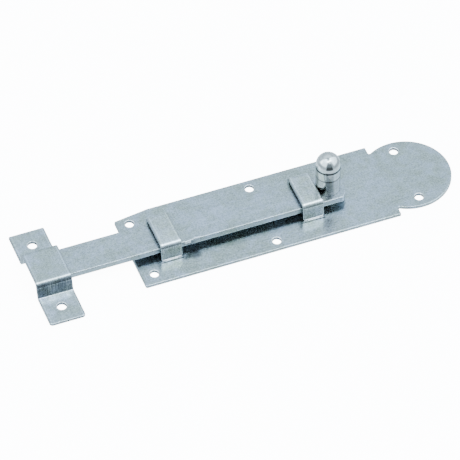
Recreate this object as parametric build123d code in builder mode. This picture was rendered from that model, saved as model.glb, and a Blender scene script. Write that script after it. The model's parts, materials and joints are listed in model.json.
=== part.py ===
from build123d import *
import math
import os

os.makedirs("parts", exist_ok=True)

# All sizes in mm. The origin is midway between the middle pair of screw holes, on the back face.
# +X runs from the keeper to the round end, +Y across the plate, +Z out of the surface it is fixed to.

# Sheet metal
sheet = 2.0
bend_outer_r = 3.0
bend_inner_r = bend_outer_r - sheet
edge_break = 0.35
bore_break = 0.25

# How near a point or an edge has to lie to a known place to be picked there
pick = 0.05

# Back plate
plate_width = 60.0
throw_edge_from_origin = 87.5
shoulder_from_origin = 79.5
throw_corner_r = 1.3
shoulder_corner_r = 0.7
notch_r = 1.0
clip_length = 22.7
clip_depth = 3.0
round_end_inset = 2.0
round_end_from_origin = 95.0

# Screw holes in the plate, three pairs across it, each centred this far from the edge beside it
screw_hole_d = 5.5
throw_pair_from_end = 8.3
throw_pair_from_edge = 8.0
middle_pair_from_edge = 6.7
round_pair_from_edge = 7.4

# Guides, two alike
guide_width = 13.5
front_guide_from_origin = 64.75
rear_guide_from_origin = 27.9
guide_side_gap = 0.4
guide_over_bar = 2.3
guide_splay = 1.2
guide_shoulder_r = 1.8
tab_length = 7.5
slot_clearance = 0.15
peen = 0.6

# Sliding bar
bar_width = 22.0
bar_thickness = 4.0
bar_lift = 4.0
bar_short_of_keeper_face = 1.5
bar_past_knob_centre = 10.5
bar_end_r = 16.0
bar_corner_r = 1.5
running_clearance = 0.3
stop_from_front_guide = 2.5
stop_length = 4.0
stop_height = 1.0
stop_out = 1.2
stop_corner_r = 0.4
stop_root = 1.0
chisel_mark_gap = 1.7
chisel_mark_length = 5.4
chisel_mark_depth = 0.9

# Knob
knob_d = 15.4
knob_height = 28.4
knob_base_chamfer = 0.3
fine_groove_height = 12.3
fine_groove_width = 0.6
fine_groove_depth = 0.25
deep_groove_below_dome = 1.0
deep_groove_width = 1.0
deep_groove_depth = 0.6
spigot_d = 7.0
spigot_clearance = 0.05
foot_d = 10.0
foot_chamfer = 0.5

# Keeper
keeper_width = 22.8
keeper_from_origin = 140.6
keeper_side_gap = 0.5
keeper_over_bar = 0.4
keeper_splay = 2.75
keeper_length = 76.8
keeper_hole_d = 6.0
keeper_hole_from_end = 11.8
keeper_front_corner_r = 2.0
keeper_rear_corner_r = 1.0

# Worked out from the sizes above
plate_half = plate_width / 2
throw_edge_x = -throw_edge_from_origin
round_end_r = plate_half - round_end_inset
throw_pair_x = throw_edge_x + throw_pair_from_end
throw_pair_spacing = plate_width - 2 * throw_pair_from_edge
middle_pair_spacing = plate_width - 2 * middle_pair_from_edge
round_pair_spacing = 2 * (round_end_r - round_pair_from_edge)

bar_bottom_z = sheet + bar_lift
bar_top_z = bar_bottom_z + bar_thickness
bar_half = bar_width / 2

front_guide_x = -front_guide_from_origin
rear_guide_x = rear_guide_from_origin
guide_pitch = rear_guide_x - front_guide_x
guide_inner_z = bar_top_z + guide_over_bar
guide_top_z = guide_inner_z + sheet
guide_rise = guide_top_z - sheet
guide_top_half = bar_half + guide_side_gap + sheet
guide_foot_half = guide_top_half + guide_splay
guide_wall = sheet * math.hypot(guide_splay, guide_rise) / guide_rise
guide_inner_top_half = guide_top_half + guide_splay * sheet / guide_rise - guide_wall
tab_y = guide_foot_half - guide_wall / 2
slot_length = tab_length + 2 * slot_clearance
slot_width = guide_wall + 2 * slot_clearance

rear_guide_face_x = rear_guide_x + guide_width / 2
knob_r = knob_d / 2
knob_x = rear_guide_face_x + running_clearance + knob_r
foot_height = bar_lift - running_clearance
foot_z = bar_bottom_z - foot_height
dome_z = bar_top_z + knob_height - knob_r
fine_groove_z = bar_top_z + fine_groove_height
deep_groove_top_z = dome_z - deep_groove_below_dome
deep_groove_z = deep_groove_top_z - deep_groove_width

keeper_x = -keeper_from_origin
keeper_half = keeper_length / 2
keeper_hole_spacing = keeper_length - 2 * keeper_hole_from_end
keeper_inner_z = bar_top_z + keeper_over_bar
keeper_height = keeper_inner_z + sheet
keeper_drop = keeper_height - sheet
keeper_top_half = bar_half + keeper_side_gap + sheet
keeper_foot_half = keeper_top_half + keeper_splay
keeper_wall = sheet * math.hypot(keeper_splay, keeper_drop) / keeper_drop
keeper_inner_top_half = keeper_top_half + keeper_splay * sheet / keeper_drop - keeper_wall
keeper_inner_foot_half = keeper_foot_half + keeper_splay * sheet / keeper_drop - keeper_wall

bar_start_x = keeper_x - keeper_width / 2 + bar_short_of_keeper_face
bar_end_x = knob_x + bar_past_knob_centre
bar_end_corner_x = bar_end_x - bar_end_r + math.sqrt(bar_end_r**2 - bar_half**2)
stop_start_x = front_guide_x + guide_width / 2 + stop_from_front_guide
stop_end_x = stop_start_x + stop_length
stop_top_z = bar_top_z - edge_break

# Back plate: one stamped sheet, its left rear corner clipped, its other end a neck and a round pad
with BuildPart() as back_plate:
    with BuildSketch():
        with BuildLine():
            Polyline(
                (throw_edge_x, -plate_half),
                (shoulder_from_origin, -plate_half),
                (shoulder_from_origin, plate_half),
                (throw_edge_x + clip_length, plate_half),
                (throw_edge_x, plate_half - clip_depth),
                close=True,
            )
        make_face()
        fillet(vertices().group_by(Axis.X)[0], throw_corner_r)
        fillet(vertices().group_by(Axis.X)[-1], shoulder_corner_r)
        with Locations((round_end_from_origin, 0)):
            Circle(round_end_r)
        shoulder_points = vertices().filter_by_position(
            Axis.X, shoulder_from_origin - pick, shoulder_from_origin + pick
        )
        fillet(shoulder_points.sort_by(Axis.Y)[1:-1], notch_r)
    extrude(amount=sheet)
    chamfer(faces().sort_by(Axis.Z)[-1].edges(), edge_break)
    with BuildSketch():
        with Locations((throw_pair_x, 0)):
            with GridLocations(0, throw_pair_spacing, 1, 2):
                Circle(screw_hole_d / 2)
        with GridLocations(0, middle_pair_spacing, 1, 2):
            Circle(screw_hole_d / 2)
        with Locations((round_end_from_origin, 0)):
            with GridLocations(0, round_pair_spacing, 1, 2):
                Circle(screw_hole_d / 2)
    extrude(amount=sheet, mode=Mode.SUBTRACT)
    bore_rims = faces().sort_by(Axis.Z)[-1].edges().filter_by(GeomType.CIRCLE).filter_by(
        lambda e: abs(e.radius - screw_hole_d / 2) < pick
    )
    chamfer(bore_rims, bore_break)
    with BuildSketch():
        with Locations((front_guide_x, 0), (rear_guide_x, 0)):
            with GridLocations(0, 2 * tab_y, 1, 2):
                Rectangle(slot_length, slot_width)
    extrude(amount=sheet, mode=Mode.SUBTRACT)
    with BuildSketch():
        with Locations((front_guide_x, 0), (rear_guide_x, 0)):
            with GridLocations(0, 2 * tab_y, 1, 2):
                Rectangle(slot_length + 2 * peen, slot_width + 2 * peen)
    extrude(amount=peen, taper=45, mode=Mode.SUBTRACT)
back_plate.part.label = "back_plate"
export_step(back_plate.part, "parts/back_plate.step")

# Front guide: a bent strip standing on its shoulders, its two tabs peened in the plate's slots
with BuildPart() as front_guide:
    with BuildSketch(Plane.YZ.offset(front_guide_x)):
        with BuildLine():
            FilletPolyline(
                (-guide_foot_half, sheet),
                (-guide_top_half, guide_top_z),
                (guide_top_half, guide_top_z),
                (guide_foot_half, sheet),
                (guide_foot_half - guide_wall, sheet),
                (guide_inner_top_half, guide_inner_z),
                (-guide_inner_top_half, guide_inner_z),
                (guide_wall - guide_foot_half, sheet),
                radius=[0, bend_outer_r, bend_outer_r, 0, 0, bend_inner_r, bend_inner_r, 0],
                close=True,
            )
        make_face()
    extrude(amount=guide_width / 2, both=True)
    shoulder_corners = edges().filter_by(Axis.Y).filter_by_position(Axis.Z, sheet - pick, sheet + pick)
    fillet(shoulder_corners, guide_shoulder_r)
    strip_edges = faces().filter_by(Axis.X).edges().filter_by(
        lambda e: e.center().Z > sheet + guide_shoulder_r
    )
    chamfer(strip_edges, edge_break)
    with BuildSketch():
        with Locations((front_guide_x, 0)):
            with GridLocations(0, 2 * tab_y, 1, 2):
                Rectangle(tab_length, guide_wall)
    extrude(amount=sheet)
    with BuildSketch():
        with Locations((front_guide_x, 0)):
            with GridLocations(0, 2 * tab_y, 1, 2):
                Rectangle(slot_length + 2 * peen, slot_width + 2 * peen)
    extrude(amount=peen, taper=45)
front_guide.part.label = "front_guide"
export_step(front_guide.part, "parts/front_guide.step")

# Rear guide: the same strip again, further along the plate
with BuildPart() as rear_guide:
    add(front_guide.part.moved(Location((guide_pitch, 0, 0))))
rear_guide.part.label = "rear_guide"
export_step(rear_guide.part, "parts/rear_guide.step")

# Sliding bar: flat bar with a bowed end, a stop staked out of its front edge and the chisel's mark
with BuildPart() as bolt_bar:
    with BuildSketch(Plane.XY.offset(bar_bottom_z)):
        with BuildLine():
            Polyline(
                (bar_end_corner_x, bar_half),
                (bar_start_x, bar_half),
                (bar_start_x, -bar_half),
                (bar_end_corner_x, -bar_half),
            )
            ThreePointArc(
                (bar_end_corner_x, -bar_half),
                (bar_end_x, 0),
                (bar_end_corner_x, bar_half),
            )
        make_face()
        fillet(vertices(), bar_corner_r)
    extrude(amount=bar_thickness)
    chamfer(faces().filter_by(Axis.Z).edges(), edge_break)
    with BuildSketch(Plane.XY.offset(stop_top_z)):
        with BuildLine():
            Polyline(
                (stop_start_x, -bar_half + stop_root),
                (stop_start_x, -bar_half - stop_out),
                (stop_end_x, -bar_half - stop_out),
                (stop_end_x, -bar_half + stop_root),
                close=True,
            )
        make_face()
        fillet(vertices().group_by(Axis.Y)[0], stop_corner_r)
    extrude(amount=-stop_height)
    with BuildSketch(Plane.YZ.offset(stop_end_x + chisel_mark_gap)):
        with BuildLine():
            Polyline(
                (-bar_half, bar_top_z - chisel_mark_depth),
                (-bar_half + chisel_mark_depth, bar_top_z),
                (-bar_half, bar_top_z),
                close=True,
            )
        make_face()
    extrude(amount=chisel_mark_length, mode=Mode.SUBTRACT)
    with BuildSketch(Plane.XY.offset(bar_bottom_z)):
        with Locations((knob_x, 0)):
            Circle(spigot_d / 2 + spigot_clearance)
    extrude(amount=bar_thickness, mode=Mode.SUBTRACT)
bolt_bar.part.label = "bolt_bar"
export_step(bolt_bar.part, "parts/bolt_bar.step")

# Knob: one turned piece with a domed top, two grooves, and a spigot riveted over under the bar
with BuildPart() as knob:
    with BuildSketch(Plane.XZ):
        with BuildLine():
            shank = Polyline(
                (knob_x, foot_z),
                (knob_x + foot_d / 2 - foot_chamfer, foot_z),
                (knob_x + foot_d / 2, foot_z + foot_chamfer),
                (knob_x + foot_d / 2, bar_bottom_z),
                (knob_x + spigot_d / 2, bar_bottom_z),
                (knob_x + spigot_d / 2, bar_top_z),
                (knob_x + knob_r - knob_base_chamfer, bar_top_z),
                (knob_x + knob_r, bar_top_z + knob_base_chamfer),
                (knob_x + knob_r, fine_groove_z - fine_groove_width / 2),
                (knob_x + knob_r - fine_groove_depth, fine_groove_z),
                (knob_x + knob_r, fine_groove_z + fine_groove_width / 2),
                (knob_x + knob_r, deep_groove_z),
                (knob_x + knob_r - deep_groove_depth, deep_groove_z),
                (knob_x + knob_r - deep_groove_depth, deep_groove_top_z),
                (knob_x + knob_r, deep_groove_top_z),
                (knob_x + knob_r, dome_z),
            )
            dome = CenterArc((knob_x, dome_z), knob_r, 0, 90)
            Line(dome @ 1, shank @ 0)
        make_face()
    revolve(axis=Axis((knob_x, 0, 0), (0, 0, 1)))
knob.part.label = "knob"
export_step(knob.part, "parts/knob.step")

# Keeper: a bent strip with two drilled feet, fixed on its own beyond the plate
with BuildPart() as keeper:
    with BuildSketch(Plane.YZ.offset(keeper_x)):
        with BuildLine():
            FilletPolyline(
                (-keeper_half, 0),
                (-keeper_half, sheet),
                (-keeper_foot_half, sheet),
                (-keeper_top_half, keeper_height),
                (keeper_top_half, keeper_height),
                (keeper_foot_half, sheet),
                (keeper_half, sheet),
                (keeper_half, 0),
                (keeper_inner_foot_half, 0),
                (keeper_inner_top_half, keeper_inner_z),
                (-keeper_inner_top_half, keeper_inner_z),
                (-keeper_inner_foot_half, 0),
                radius=[
                    0, 0, bend_inner_r, bend_outer_r, bend_outer_r, bend_inner_r,
                    0, 0, bend_outer_r, bend_inner_r, bend_inner_r, bend_outer_r,
                ],
                close=True,
            )
        make_face()
    extrude(amount=keeper_width / 2, both=True)
    foot_corners = edges().filter_by(Axis.Z)
    fillet(foot_corners.group_by(Axis.Y)[0], keeper_front_corner_r)
    fillet(foot_corners.group_by(Axis.Y)[-1], keeper_rear_corner_r)
    strip_edges = faces().filter_by(Axis.X).edges().filter_by(lambda e: e.center().Z > pick)
    chamfer(strip_edges, edge_break)
    with BuildSketch():
        with Locations((keeper_x, 0)):
            with GridLocations(0, keeper_hole_spacing, 1, 2):
                Circle(keeper_hole_d / 2)
    extrude(amount=sheet, mode=Mode.SUBTRACT)
keeper.part.label = "keeper"
export_step(keeper.part, "parts/keeper.step")
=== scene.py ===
import json
import math

import bpy
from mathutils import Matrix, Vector


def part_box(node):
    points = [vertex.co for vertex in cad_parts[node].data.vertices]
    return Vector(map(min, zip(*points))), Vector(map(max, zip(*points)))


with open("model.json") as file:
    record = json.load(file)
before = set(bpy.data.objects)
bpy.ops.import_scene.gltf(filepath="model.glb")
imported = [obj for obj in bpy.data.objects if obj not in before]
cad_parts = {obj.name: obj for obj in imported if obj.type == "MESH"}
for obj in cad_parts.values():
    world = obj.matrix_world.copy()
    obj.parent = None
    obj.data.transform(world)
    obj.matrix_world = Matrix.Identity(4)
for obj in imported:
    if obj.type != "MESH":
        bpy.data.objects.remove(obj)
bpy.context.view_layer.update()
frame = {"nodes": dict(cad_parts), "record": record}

mm = 0.001
bump_height = 0.1 * mm


# Helpers for node trees

# Where a Mix node keeps its two inputs and its result, for each kind of value
mix_sockets = {"FLOAT": (2, 3, 0), "RGBA": (6, 7, 2)}


def link_or_set(tree, socket, value):
    """Sets the socket to a number or a tuple, or links another node's output to it."""
    if isinstance(value, (int, float)):
        socket.default_value = value
    elif isinstance(value, tuple):
        socket.default_value = (*value, 1.0) if len(socket.default_value) == 4 else value
    else:
        tree.links.new(value, socket)


def math_node(tree, operation, *values):
    """The result of a Math node with the given inputs."""
    node = tree.nodes.new("ShaderNodeMath")
    node.operation = operation
    for socket, value in zip(node.inputs, values):
        link_or_set(tree, socket, value)
    return node.outputs["Value"]


def vector_node(tree, operation, *values):
    """The outputs of a Vector Math node with the given inputs."""
    node = tree.nodes.new("ShaderNodeVectorMath")
    node.operation = operation
    for socket, value in zip(node.inputs, values):
        link_or_set(tree, socket, value)
    return node.outputs


def multiplied(tree, *factors):
    """The factors, numbers or other nodes' outputs, multiplied together."""
    product = factors[0]
    for factor in factors[1:]:
        product = math_node(tree, "MULTIPLY", product, factor)
    return product


def added(tree, *values):
    """The values, numbers or other nodes' outputs, added up."""
    total = values[0]
    for value in values[1:]:
        total = math_node(tree, "ADD", total, value)
    return total


def scaled_by(tree, vector, amount):
    """A vector or colour, times a number that another node gives."""
    node = tree.nodes.new("ShaderNodeVectorMath")
    node.operation = "SCALE"
    link_or_set(tree, node.inputs[0], vector)
    tree.links.new(amount, node.inputs["Scale"])
    return node.outputs["Vector"]


def stretched(tree, vector, scale):
    """The vector scaled axis by axis: a small number draws a pattern out along that axis."""
    node = tree.nodes.new("ShaderNodeMapping")
    node.inputs["Scale"].default_value = scale
    tree.links.new(vector, node.inputs["Vector"])
    return node.outputs["Vector"]


def away_from(tree, value, centre):
    """How far the value is from the centre, either way."""
    return math_node(tree, "ABSOLUTE", math_node(tree, "SUBTRACT", value, centre))


def spread(tree, value, start, end, low=0.0, high=1.0, smooth=False):
    """Runs from low at start to high at end, and stays there beyond."""
    node = tree.nodes.new("ShaderNodeMapRange")
    node.interpolation_type = "SMOOTHSTEP" if smooth else "LINEAR"
    node.inputs["From Min"].default_value = start
    node.inputs["From Max"].default_value = end
    node.inputs["To Min"].default_value = low
    node.inputs["To Max"].default_value = high
    tree.links.new(value, node.inputs["Value"])
    return node.outputs["Result"]


def mixed(tree, kind, share, a, b, blend="MIX"):
    """Mixes two numbers (FLOAT) or colours (RGBA): a alone where share is 0, b in full where it is 1."""
    first, second, result = mix_sockets[kind]
    node = tree.nodes.new("ShaderNodeMix")
    node.data_type = kind
    node.blend_type = blend
    link_or_set(tree, node.inputs[0], share)
    link_or_set(tree, node.inputs[first], a)
    link_or_set(tree, node.inputs[second], b)
    return node.outputs[result]


def noise(tree, vector, size, detail, rough=0.5, distortion=0.0):
    """Noise whose features are about size across, in metres."""
    node = tree.nodes.new("ShaderNodeTexNoise")
    node.inputs["Scale"].default_value = 1.0 / size
    node.inputs["Detail"].default_value = detail
    node.inputs["Roughness"].default_value = rough
    node.inputs["Distortion"].default_value = distortion
    tree.links.new(vector, node.inputs["Vector"])
    return node.outputs["Fac"]


def summed(tree, *parts):
    """Adds patterns, given as (pattern, share) pairs, each first set about zero."""
    total = 0.0
    for pattern, share in parts:
        about_zero = math_node(tree, "SUBTRACT", pattern, 0.5)
        total = math_node(tree, "MULTIPLY_ADD", about_zero, share, total)
    return total


def object_place(tree):
    """The point on the surface in the frame's own axes: as a vector, and as its X, Y and Z."""
    coord = tree.nodes.new("ShaderNodeTexCoord").outputs["Object"]
    parts = tree.nodes.new("ShaderNodeSeparateXYZ")
    tree.links.new(coord, parts.inputs["Vector"])
    return coord, parts.outputs


def facing(tree):
    """How far the surface faces up (1 on top, -1 underneath), how far to the right, and its normal."""
    normal = tree.nodes.new("ShaderNodeNewGeometry").outputs["True Normal"]
    parts = tree.nodes.new("ShaderNodeSeparateXYZ")
    tree.links.new(normal, parts.inputs["Vector"])
    return parts.outputs["Z"], parts.outputs["X"], normal


def new_material(name):
    """A new material, its node tree and its shader."""
    mat = bpy.data.materials.new(name)
    mat.use_nodes = True
    tree = mat.node_tree
    tree.nodes.clear()
    out = tree.nodes.new("ShaderNodeOutputMaterial")
    bsdf = tree.nodes.new("ShaderNodeBsdfPrincipled")
    tree.links.new(bsdf.outputs["BSDF"], out.inputs["Surface"])
    return mat, tree, bsdf


def add_bump(tree, bsdf, height, strength, normal=None):
    """Bumps the shader's surface by a pattern, over the given normal if there is one."""
    bump = tree.nodes.new("ShaderNodeBump")
    bump.inputs["Strength"].default_value = strength
    bump.inputs["Distance"].default_value = bump_height
    tree.links.new(height, bump.inputs["Height"])
    if normal is not None:
        tree.links.new(normal, bump.inputs["Normal"])
    tree.links.new(bump.outputs["Normal"], bsdf.inputs["Normal"])


# Zinc-plated sheet and bar

# The plating's patterns, from large to small
cloud_size = 22 * mm
patch_size = 6 * mm
brush_size = 1.6 * mm
speck_size = 0.9 * mm
scratch_size = 0.8 * mm
scratch_stretch = (1.0, 0.04, 0.04)
scratch_span = (0.32, 0.68)

# The colours that the plating's hue runs between, as factors, and the light colour of worn bare zinc,
# which also paints highlights on edges, hole rims and the guides' lips
warm_tint = (1.000, 1.018, 0.915)
cool_tint = (0.970, 0.988, 1.065)
rubbed_zinc_and_highlight = (0.98, 0.96, 0.93)

# How far each sum of patterns reaches either side of zero, which is also the tone's greatest change
tone_swing = 0.34
hue_swing = 0.16
roughness_swing = 0.2

# Tones, as factors
sheared_tone = 0.72
# Hole walls are painted darker: painted shade
hole_wall_shade = 0.55

# A face is upright where its normal's Z is small, and sheared where its normal's X is large
upright_span = (0.30, 0.60)
sheared_span = (0.5, 0.8)
upright_roughness = 0.08

# An edge takes worn zinc's light colour, partly wear and partly a painted highlight, as far as the
# rounding turns its normal, less so where the patches are dark
edge_radius = 0.7 * mm
rubbed_and_highlight_span = (0.80, 0.985)
patch_span = (0.35, 0.60)
least_rubbed_and_highlight = 0.5

# A hole's wall, in painted shade, is looked for this much past its radius, and its rim, with a painted
# highlight, this much further out
hole_wall_slack = 0.06 * mm
hole_rim = 0.6 * mm

# How far a swelled face's normal is pushed upward
swell = (0.0, 0.0, 1.6)


def near_holes(tree, coord, mounts):
    """Two masks for the named mounts' screw holes: 1 on their walls, which get painted shade, and 1 on
    the rim of their mouths, which gets a painted highlight.
    """
    flat = stretched(tree, coord, (1.0, 1.0, 0.0))
    walls = 0.0
    rims = 0.0
    for mount in frame["record"]["mounts"]:
        if mount["name"] not in mounts:
            continue
        x, y, _ = mount["pos_m"]
        wall = mount["dims"]["hole_r_mm"] * mm + hole_wall_slack
        for side in (-0.5, 0.5):
            centre = (x, y + side * mount["dims"]["spacing_y_mm"] * mm, 0.0)
            away = vector_node(tree, "DISTANCE", flat, centre)["Value"]
            walls = math_node(tree, "MAXIMUM", walls, math_node(tree, "LESS_THAN", away, wall))
            rim = spread(tree, away, wall + 0.5 * hole_rim, wall + hole_rim, 1.0, 0.0)
            rims = math_node(tree, "MAXIMUM", rims, rim)
    return walls, rims


def upright_shade_and_draw_marks(tree, base, side, streak):
    """The tone of the upright faces: painted shade set by side, with fine upright draw marks up to streak
    either side of it.
    """
    marks = noise(tree, stretched(tree, base, scratch_stretch), scratch_size, detail=2.0, rough=0.7)
    marks = spread(tree, marks, *scratch_span, -1.0, 1.0)
    return math_node(tree, "MULTIPLY_ADD", marks, streak, side)


def zinc(
    name, tone, rough, grain, seed, side=1.0, streak=0.0, bump_strength=0.16,
    holes=(), shading=None, lean=None,
):
    """Bright zinc plating on rolled steel, with its ends sheared, and its edges brightened, partly by
    wear and partly as a painted highlight.

    tone is its colour and rough the range of its roughness. grain stretches its brush marks along the
    rolling direction, and seed shifts its patterns, so that no two pieces look alike. side sets the
    painted shade of its upright faces, and streak their draw marks. holes names the mounts whose screw
    holes it has, with painted shade on their walls and a painted highlight on their rims. shading gives
    further factors for its tone, and lean says where its faces swell outward and catch the light from
    above, and where they are also painted with a highlight.
    """
    mat, tree, bsdf = new_material(name)
    coord, place = object_place(tree)
    up, right, normal = facing(tree)
    base = vector_node(tree, "ADD", coord, seed)["Vector"]
    clouds = noise(tree, base, cloud_size, detail=4.0, rough=0.55, distortion=0.5)
    patches = noise(tree, base, patch_size, detail=4.0, rough=0.6, distortion=0.4)
    brush = noise(tree, stretched(tree, base, grain), brush_size, detail=4.0, rough=0.65)
    speck = noise(tree, base, speck_size, detail=3.0, rough=0.6)

    # Tone and hue
    value = summed(tree, (clouds, 0.45), (patches, 0.55), (brush, 0.50), (speck, 1.50))
    shade = added(tree, 1.0, spread(tree, value, -tone_swing, tone_swing, -tone_swing, tone_swing))
    # Upright faces are darkened by side: painted shade, with draw marks from streak
    upright = spread(tree, math_node(tree, "ABSOLUTE", up), *upright_span, 1.0, 0.0)
    side_shade_and_marks = mixed(tree, "FLOAT", upright, 1.0, upright_shade_and_draw_marks(tree, base, side, streak))
    sheared = spread(tree, math_node(tree, "ABSOLUTE", right), *sheared_span, 1.0, sheared_tone)
    shade = multiplied(tree, shade, side_shade_and_marks, sheared)
    if shading:
        shade = multiplied(tree, shade, *shading(tree, coord, place))
    hue = spread(tree, summed(tree, (patches, 1.0), (clouds, 0.7)), -hue_swing, hue_swing)
    tint = mixed(tree, "RGBA", hue, warm_tint, cool_tint)

    # Edges worn and painted with highlights, hole walls in painted shade, and hole rims and swellings
    # painted with highlights
    bevel = tree.nodes.new("ShaderNodeBevel")
    bevel.samples = 6
    bevel.inputs["Radius"].default_value = edge_radius
    outward = bevel.outputs["Normal"]
    turned_by = vector_node(tree, "DOT_PRODUCT", outward, normal)["Value"]
    rubbed_and_highlight = spread(tree, turned_by, *rubbed_and_highlight_span, 1.0, 0.0)
    if holes:
        walls, rims = near_holes(tree, coord, holes)
        shade = multiplied(tree, shade, spread(tree, walls, 0.0, 1.0, 1.0, hole_wall_shade))
        # Hole rims take worn zinc's light colour: a painted highlight
        rims = multiplied(tree, rims, math_node(tree, "SUBTRACT", 1.0, walls))
        rubbed_and_highlight = math_node(tree, "MAXIMUM", rubbed_and_highlight, rims)
    if lean:
        amount = lean(tree, place)
        outward = vector_node(tree, "ADD", outward, scaled_by(tree, swell, amount))["Vector"]
        outward = vector_node(tree, "NORMALIZE", outward)["Vector"]
        # Swelled faces also take worn zinc's light colour: a painted highlight
        rubbed_and_highlight = math_node(tree, "MAXIMUM", rubbed_and_highlight, amount)
    rubbed_and_highlight = multiplied(tree, rubbed_and_highlight, spread(tree, patches, *patch_span, least_rubbed_and_highlight, 1.0))

    colour = scaled_by(tree, mixed(tree, "RGBA", 1.0, tone, tint, "MULTIPLY"), shade)
    tree.links.new(mixed(tree, "RGBA", rubbed_and_highlight, colour, rubbed_zinc_and_highlight), bsdf.inputs["Base Color"])
    roughness = summed(tree, (patches, 1.0), (speck, 1.0), (clouds, 0.6))
    roughness = spread(tree, roughness, -roughness_swing, roughness_swing, *rough)
    roughness = math_node(tree, "MULTIPLY_ADD", upright, upright_roughness, roughness)
    tree.links.new(roughness, bsdf.inputs["Roughness"])
    bsdf.inputs["Metallic"].default_value = 1.0
    add_bump(tree, bsdf, summed(tree, (speck, 0.8), (brush, 0.8), (patches, 0.8)), bump_strength, outward)
    return mat


# Painted light: shadows, highlights and reflection lines on the pieces, a lighter underside for the bar,
# and the swell of the peened lips

guides = ("front_guide", "rear_guide")
guide_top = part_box("front_guide")[1].z
guide_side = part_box("front_guide")[1].y
plate_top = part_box("back_plate")[1].z
keeper_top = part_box("keeper")[1].z
bar_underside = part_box("bolt_bar")[0].z

# A thin line is at its full strength up to the first distance, and gone at the second
line_span = (0.25 * mm, 0.50 * mm)

# The painted contact shadow beside the guides' legs where they go into the plate, and the swelled lip at
# the legs' feet, which also has a painted highlight
seam_shadow_width = 1.1 * mm
seam_shadow_end_fade = 0.5 * mm
seam_shadow_tone = 0.12
lip_height = 1.4 * mm
lip_swell = 0.8

# Painted reflection lines under the bend of the legs: a dark one this far below the top of the guides or
# the keeper, a light one this far below the dark one, and the tones of the two
guide_line_drop = 2.1 * mm
guide_line_tones = (0.70, 1.35)
keeper_line_drop = 2.6 * mm
keeper_line_tones = (0.60, 1.45)
light_line_drop = 0.95 * mm

# The strip's long edges, with painted light: where their painted highlight line runs, the painted shade
# outside it, and the line's own tone
edge_line = 1.25 * mm
edge_shade_tone = 0.84
edge_highlight_tone = 1.35

# Where the guides' tops begin and end to brighten towards their front bend: a painted highlight
crown_highlight_span = (-1.0 * mm, -11.5 * mm)
crown_highlight_tone = 1.25

# The bar's underside, painted lighter as painted light in the shade under the bar, and how far up its
# edge that reaches
underside_painted_light = 1.25
underside_span = (bar_underside + 0.1 * mm, bar_underside + 0.2 * mm)

# The stop's shadow and reflection, painted as a dark ragged spot on the plate in front of the bar
stop_shadow_place = (-50.4 * mm, -15.7 * mm, 2.0 * mm)
stop_shadow_stretch = (0.9, 1.0, 0.0)
stop_shadow_span = (2.6 * mm, 5.6 * mm)
stop_shadow_tone = 0.30
stop_shadow_grain = 2.5 * mm
stop_shadow_raggedness = 1.5 * mm


def off_middle(tree, place, node):
    """How far the point is from the middle of a node along X, and half the node's width."""
    low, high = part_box(node)
    return away_from(tree, place["X"], 0.5 * (low.x + high.x)), 0.5 * (high.x - low.x)


def seam_shadows(tree, place):
    """1 in the thin strip beside each leg of the guides, where it goes into the plate, which gets a
    painted contact shadow.
    """
    away_y = math_node(tree, "ABSOLUTE", place["Y"])
    outside = math_node(tree, "GREATER_THAN", away_y, guide_side)
    inside = spread(tree, away_y, guide_side + 0.6 * seam_shadow_width, guide_side + seam_shadow_width, 1.0, 0.0)
    beside_leg = 0.0
    for guide in guides:
        away_x, half = off_middle(tree, place, guide)
        leg = spread(tree, away_x, half, half + seam_shadow_end_fade, 1.0, 0.0)
        beside_leg = math_node(tree, "MAXIMUM", beside_leg, leg)
    return multiplied(tree, outside, inside, beside_leg)


def bend_reflection_lines(tree, place, dark_z, dark, light):
    """Painted reflection lines across a strap's leg, under its bend: a dark one, and a light one below
    it.
    """
    off_dark = away_from(tree, place["Z"], dark_z)
    off_light = away_from(tree, place["Z"], dark_z - light_line_drop)
    return spread(tree, off_dark, *line_span, dark, 1.0), spread(tree, off_light, *line_span, light, 1.0)


def strip_edge_light(tree, place, straps):
    """Painted light along the strip's long edges: painted shade at the very edge, with a painted
    highlight line just inside it.
    """
    inside = -1.0
    for strap in straps:
        away_x, half = off_middle(tree, place, strap)
        inside = math_node(tree, "MAXIMUM", inside, math_node(tree, "SUBTRACT", half, away_x))
    off_line = away_from(tree, inside, edge_line)
    return (
        spread(tree, inside, 0.7 * edge_line, edge_line, edge_shade_tone, 1.0),
        spread(tree, off_line, *line_span, edge_highlight_tone, 1.0),
    )


def plate_painted_shade(tree, coord, place):
    """Painted contact shadows beside the guides' legs, and the stop's shadow and reflection, painted as a
    dark spot in front of the bar.
    """
    seam_shadow = spread(tree, seam_shadows(tree, place), 0.0, 1.0, 1.0, seam_shadow_tone)
    offset = vector_node(tree, "SUBTRACT", coord, stop_shadow_place)["Vector"]
    away = vector_node(tree, "LENGTH", stretched(tree, offset, stop_shadow_stretch))["Value"]
    grain = noise(tree, coord, stop_shadow_grain, detail=2.0)
    ragged = math_node(tree, "MULTIPLY_ADD", grain, stop_shadow_raggedness, away)
    stop_shadow = spread(tree, ragged, *stop_shadow_span, stop_shadow_tone, 1.0, smooth=True)
    return seam_shadow, stop_shadow


def guide_lips_and_highlight(tree, place):
    """Above 0 at the foot of the guides' legs, where peening swelled them against the plate; there a
    highlight is also painted.
    """
    lip_end = (plate_top + 0.7 * lip_height, plate_top + lip_height)
    return spread(tree, place["Z"], *lip_end, lip_swell, 0.0)


def guide_painted_light(tree, coord, place):
    """The guides' tops get a painted highlight towards their front bend, their legs painted reflection
    lines, and their strip's edges painted light.
    """
    crown_highlight = spread(tree, place["Y"], *crown_highlight_span, 1.0, crown_highlight_tone)
    lines = bend_reflection_lines(tree, place, guide_top - guide_line_drop, *guide_line_tones)
    return (crown_highlight, *lines, *strip_edge_light(tree, place, guides))


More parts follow.
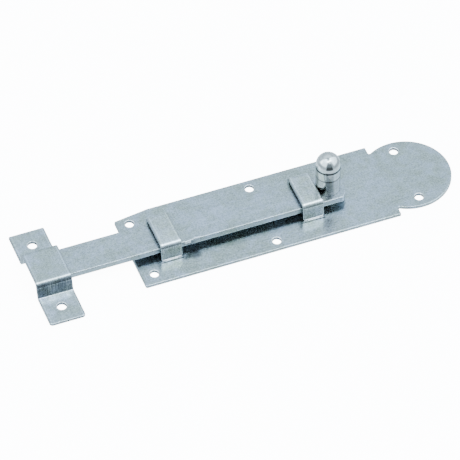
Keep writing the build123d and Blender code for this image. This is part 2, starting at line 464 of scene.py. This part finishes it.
def keeper_painted_light(tree, coord, place):
    """The painted reflection lines on the keeper's legs, and the painted light along its strip's edges.
    """
    lines = bend_reflection_lines(tree, place, keeper_top - keeper_line_drop, *keeper_line_tones)
    return (*lines, *strip_edge_light(tree, place, ("keeper",)))


def bar_painted_light(tree, coord, place):
    """The bar's underside is painted lighter: painted light in the shade under the bar."""
    return (spread(tree, place["Z"], *underside_span, underside_painted_light, 1.0),)


# Turned knob

# Heights: the fine groove between shank and collar, the deep one above it, and where the collar's painted
# shade has faded out
fine_groove_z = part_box("knob")[1].z - 16.1 * mm
deep_groove_z = fine_groove_z + 6.9 * mm
collar_shade_end_z = deep_groove_z + 3.0 * mm
fine_groove_half = 0.4 * mm
deep_groove_half = 0.7 * mm
groove_fade = 0.4 * mm
shank_fade = 0.5 * mm

# Painted shade as factors, darker low on the knob. The shank has the collar's too.
shank_shade = 0.70
collar_shade = 0.59
groove_shade = 0.38
knob_dark = (0.60, 0.60, 0.57)
knob_light = (0.95, 0.92, 0.86)
knob_swing = 0.25
knob_roughness = (0.04, 0.10)
knob_bump = 0.35

ring_size = 0.6 * mm
ring_stretch = (0.04, 0.04, 1.0)
knob_cloud_size = 5 * mm
knob_speck_size = 1.2 * mm


def turned(name):
    """Bright turned steel with fine rings round its axis: a polished dome, with painted shade on the
    collar between the two grooves, more on the shank, and more still in the grooves."""
    mat, tree, bsdf = new_material(name)
    coord, place = object_place(tree)
    rings = noise(tree, stretched(tree, coord, ring_stretch), ring_size, detail=3.0, rough=0.6)
    clouds = noise(tree, coord, knob_cloud_size, detail=4.0, rough=0.6, distortion=0.4)
    speck = noise(tree, coord, knob_speck_size, detail=3.0, rough=0.6)
    value = summed(tree, (clouds, 0.8), (rings, 0.9), (speck, 0.8))
    lightness = spread(tree, value, -knob_swing, knob_swing)
    colour = mixed(tree, "RGBA", lightness, knob_dark, knob_light)

    shank_end = (fine_groove_z - shank_fade, fine_groove_z + shank_fade)
    shank = spread(tree, place["Z"], *shank_end, shank_shade, 1.0)
    collar = spread(tree, place["Z"], deep_groove_z, collar_shade_end_z, collar_shade, 1.0)
    shade = multiplied(tree, shank, collar)
    for groove_z, half in ((fine_groove_z, fine_groove_half), (deep_groove_z, deep_groove_half)):
        # Painted shade in the groove
        off_groove = away_from(tree, place["Z"], groove_z)
        groove_shade_factor = spread(tree, off_groove, half, half + groove_fade, groove_shade, 1.0)
        shade = multiplied(tree, shade, groove_shade_factor)

    tree.links.new(scaled_by(tree, colour, shade), bsdf.inputs["Base Color"])
    tree.links.new(spread(tree, clouds, 0.35, 0.65, *knob_roughness), bsdf.inputs["Roughness"])
    bsdf.inputs["Metallic"].default_value = 1.0
    add_bump(tree, bsdf, summed(tree, (rings, 0.5), (clouds, 1.6)), knob_bump)
    return mat


# Finish of each node

# side darkens each piece's upright faces: painted shade
plate_mat = zinc(
    "plate_zinc", tone=(0.487, 0.520, 0.525), rough=(0.19, 0.24), grain=(0.12, 1.0, 1.0),
    seed=(0.0, 0.0, 0.0), side=0.95, bump_strength=0.08,
    holes=("middle_screws", "throw_end_screws", "round_end_screws"), shading=plate_painted_shade,
)
strap_mat = zinc(
    "strap_zinc", tone=(0.590, 0.620, 0.610), rough=(0.17, 0.23), grain=(1.0, 0.12, 0.12),
    seed=(0.31, 0.17, 0.23), side=0.86, streak=0.10, shading=guide_painted_light, lean=guide_lips_and_highlight,
)
keeper_mat = zinc(
    "keeper_zinc", tone=(0.515, 0.550, 0.560), rough=(0.18, 0.24), grain=(1.0, 0.12, 0.12),
    seed=(0.53, 0.37, 0.11), side=0.77, streak=0.40, holes=("keeper_screws",), shading=keeper_painted_light,
)
bar_mat = zinc(
    "bar_zinc", tone=(0.495, 0.530, 0.550), rough=(0.25, 0.31), grain=(0.06, 1.0, 1.0),
    seed=(0.77, 0.29, 0.41), shading=bar_painted_light,
)
finish = {
    "back_plate": plate_mat,
    "front_guide": strap_mat,
    "rear_guide": strap_mat,
    "keeper": keeper_mat,
    "bolt_bar": bar_mat,
    "knob": turned("knob_steel"),
}
for name, mat in finish.items():
    slots = frame["nodes"][name].data.materials
    slots.clear()
    slots.append(mat)


# Floor: plain and pale, and left out of the metal's reflections, which see the studio tent instead

floor_half = 14.0
floor_drop = 0.2 * mm
floor_glow = 12.0

floor_mat, _, floor_bsdf = new_material("floor")
floor_bsdf.inputs["Base Color"].default_value = (0.85, 0.85, 0.85, 1.0)
floor_bsdf.inputs["Roughness"].default_value = 0.9
floor_bsdf.inputs["Specular IOR Level"].default_value = 0.0
floor_bsdf.inputs["Emission Color"].default_value = (1.0, 1.0, 1.0, 1.0)
floor_bsdf.inputs["Emission Strength"].default_value = floor_glow
floor_mesh = bpy.data.meshes.new("floor")
square = ((-1, -1), (1, -1), (1, 1), (-1, 1))
corners = [(x * floor_half, y * floor_half, -floor_drop) for x, y in square]
floor_mesh.from_pydata(corners, [], [(0, 1, 2, 3)])
floor_mesh.materials.append(floor_mat)
floor = bpy.data.objects.new("floor", floor_mesh)
bpy.context.scene.collection.objects.link(floor)
floor.visible_glossy = False


# World

# A pale studio tent, with a tall panel at each side, a ring of light in front of the darker zenith and a
# dark gap in front. A direction has a turn, its angle round the object in radians, 0 in front and
# positive to the right, and a rise, from -1 straight down to 1 overhead.

# The tent itself: its tone low down and high up in front, and how much each changes towards the rear
rear_span = (1.8, 2.2)
low_tone_front = 0.78
low_tone_rear_change = 0.27
high_tone_front = 1.0
high_tone_rear_change = -0.50
high_span = (0.55, 0.85)
ground_span = (-0.45, -0.15)
ground_light = 0.6

# The ring of light in front of the zenith, and the zenith's own darker tone
ring_light = 1.8
ring_rise = (0.90, 0.982)
ring_soft = 0.012
zenith_span = (0.965, 0.99)
zenith_tone = 0.55

# The tall panels at the sides
panel_light = 2.2
left_panel = (-2.1, -0.72)
right_panel = (0.55, 1.95)
panel_soft = 0.12
panel_foot = (0.05, 0.40)

# The dark gap: its middle, its half width and how that narrows with height, its slanting top and its
# foot, and how deep its dark is low down and high up
gap_turn = -0.17
gap_half_span = (0.40, 0.56)
gap_narrowing = 0.12
gap_top_slant = 0.22
gap_top_span = (0.66, 0.80)
gap_foot_span = (-0.50, -0.30)
gap_depth_span = (0.05, 0.35)
gap_low_depth = 0.88
gap_high_depth = 0.60

tent_colour = (0.77, 1.01, 1.22)

world = bpy.data.worlds.new("studio")
world.use_nodes = True
room = world.node_tree
room.nodes.clear()
room_out = room.nodes.new("ShaderNodeOutputWorld")
room_shade = room.nodes.new("ShaderNodeBackground")
room.links.new(room_shade.outputs["Background"], room_out.inputs["Surface"])
toward = room.nodes.new("ShaderNodeSeparateXYZ")
room.links.new(room.nodes.new("ShaderNodeTexCoord").outputs["Generated"], toward.inputs["Vector"])
rise = toward.outputs["Z"]
turn = math_node(room, "ARCTAN2", toward.outputs["X"], multiplied(room, toward.outputs["Y"], -1.0))


def band(value, start, end, soft):
    """1 between start and end, fading to 0 over soft on each side of them."""
    rising = spread(room, value, start - soft, start + soft, smooth=True)
    falling = spread(room, value, end - soft, end + soft, 1.0, 0.0, smooth=True)
    return multiplied(room, rising, falling)


rearward = spread(room, math_node(room, "ABSOLUTE", turn), *rear_span, smooth=True)
frontward = math_node(room, "SUBTRACT", 1.0, rearward)
low_tone = math_node(room, "MULTIPLY_ADD", rearward, low_tone_rear_change, low_tone_front)
high_tone = math_node(room, "MULTIPLY_ADD", rearward, high_tone_rear_change, high_tone_front)
high_tone = multiplied(room, high_tone, spread(room, rise, *high_span, smooth=True))
ground = spread(room, rise, *ground_span, ground_light, 0.0, smooth=True)
ring = multiplied(room, ring_light, band(rise, *ring_rise, ring_soft), frontward)
panels = added(room, band(turn, *left_panel, panel_soft), band(turn, *right_panel, panel_soft))
panels = multiplied(room, panels, spread(room, rise, *panel_foot, 0.0, panel_light, smooth=True))
light = added(room, low_tone, high_tone, ground, ring, panels)

gap_reach = math_node(room, "MULTIPLY_ADD", rise, gap_narrowing, away_from(room, turn, gap_turn))
gap_height = math_node(room, "MULTIPLY_ADD", turn, gap_top_slant, rise)
gap = multiplied(
    room,
    spread(room, gap_reach, *gap_half_span, 1.0, 0.0, smooth=True),
    spread(room, gap_height, *gap_top_span, 1.0, 0.0, smooth=True),
    spread(room, rise, *gap_foot_span, smooth=True),
    spread(room, rise, *gap_depth_span, gap_low_depth, gap_high_depth, smooth=True),
)
light = multiplied(
    room,
    light,
    math_node(room, "SUBTRACT", 1.0, gap),
    spread(room, rise, *zenith_span, 1.0, zenith_tone, smooth=True),
)
room.links.new(scaled_by(room, tent_colour, light), room_shade.inputs["Color"])
room_shade.inputs["Strength"].default_value = 1.0
bpy.context.scene.world = world


# Soft lights, in metres and watts

softbox_colour = (0.90, 1.0, 1.08)


def softbox(name, place, aim, width, height, power):
    data = bpy.data.lights.new(name, "AREA")
    data.shape = "RECTANGLE"
    data.size = width
    data.size_y = height
    data.energy = power
    data.color = softbox_colour
    lamp = bpy.data.objects.new(name, data)
    bpy.context.scene.collection.objects.link(lamp)
    lamp.location = place
    lamp.rotation_mode = "QUATERNION"
    lamp.rotation_quaternion = (Vector(aim) - Vector(place)).to_track_quat("-Z", "Y")


softbox("top_box", place=(0.05, -0.36, 1.08), aim=(0.0, 0.0, 0.0), width=0.8, height=0.28, power=3.0)
softbox("left_box", place=(-1.2, 0.25, 0.75), aim=(-0.1, 0.0, 0.0), width=0.5, height=0.5, power=1.6)


# Camera at the photo's place: a long lens without roll, aimed near the middle of the plate

azimuth = -0.36716
elevation = 0.82899
distance = 3.0596
target = Vector((-0.0229, -0.00323, 0.0))
photo_width_px = 460.0
focal_length_px = 5000.0
sensor_width_mm = 36.0

back = Vector((
    math.sin(azimuth) * math.cos(elevation),
    -math.cos(azimuth) * math.cos(elevation),
    math.sin(elevation),
))
camera_data = bpy.data.cameras.new("camera")
camera_data.sensor_width = sensor_width_mm
camera_data.lens = sensor_width_mm * focal_length_px / photo_width_px
camera_data.clip_start = 0.05
camera_data.clip_end = 60.0
camera = bpy.data.objects.new("camera", camera_data)
bpy.context.scene.collection.objects.link(camera)
camera.location = target + back * distance
camera.rotation_mode = "QUATERNION"
camera.rotation_quaternion = (-back).to_track_quat("-Z", "Y")
bpy.context.scene.camera = camera
